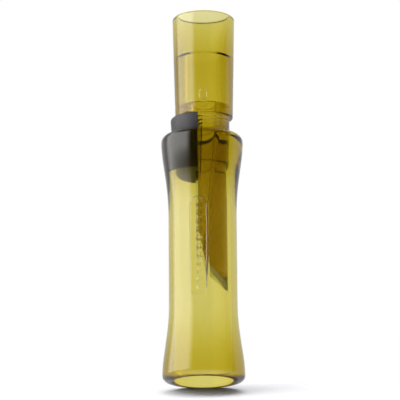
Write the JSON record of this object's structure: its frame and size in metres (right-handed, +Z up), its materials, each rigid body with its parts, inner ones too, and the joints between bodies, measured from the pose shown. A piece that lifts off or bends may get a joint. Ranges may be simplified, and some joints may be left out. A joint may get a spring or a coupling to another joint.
{
  "type": "duck call",
  "caption": "Clear amber duck call: flared barrel with a friction-fit insert, half-round tone board, stepped film reeds and a dark wedge that clamps them.",
  "frame": {"origin": "centre of the mouth end's face, on the barrel's axis", "axes": "+Z up the barrel towards the exhaust end, +X towards the tone board, -Y towards the raised frame"},
  "size_m": [0.0318, 0.0318, 0.1456],
  "materials": {
    "amber_barrel": "clear olive-amber polycarbonate, moulded and polished",
    "amber_insert": "clear olive-amber polycarbonate, moulded and polished",
    "charcoal_wedge": "dark charcoal, satin, fine moulding grain",
    "reed_film": "clear polyester film"
  },
  "bodies": {
    "barrel": {"barrel": "amber_barrel"},
    "insert": {"insert": "amber_insert", "wedge": "charcoal_wedge"},
    "reed_long": {"reed_long": "reed_film"},
    "reed_middle": {"reed_middle": "reed_film"},
    "reed_short": {"reed_short": "reed_film"}
  },
  "joints": [
    {"name": "insert_pull", "type": "slide", "parent": "barrel", "child": "insert", "axis": [0, 0, 1], "range_m": [0, 0.08]},
    {"name": "reed_flex_long", "type": "hinge", "parent": "insert", "child": "reed_long", "pos_m": [-0.0017, 0, 0.063], "axis": [0, -1, 0], "range_deg": [-1.5, 3], "stiffness_Nm_per_rad": 0.004, "deforming": ["reed_long"]},
    {"name": "reed_flex_middle", "type": "hinge", "parent": "insert", "child": "reed_middle", "pos_m": [-0.002, 0, 0.063], "axis": [0, -1, 0], "range_deg": [-1.5, 3], "stiffness_Nm_per_rad": 0.004, "deforming": ["reed_middle"]},
    {"name": "reed_flex_short", "type": "hinge", "parent": "insert", "child": "reed_short", "pos_m": [-0.0024, 0, 0.063], "axis": [0, -1, 0], "range_deg": [-1.5, 3], "stiffness_Nm_per_rad": 0.004, "deforming": ["reed_short"]}
  ],
  "couplings": [
    {"joint": "reed_flex_middle", "follows": "reed_flex_long", "ratio": 1},
    {"joint": "reed_flex_short", "follows": "reed_flex_long", "ratio": 1}
  ]
}
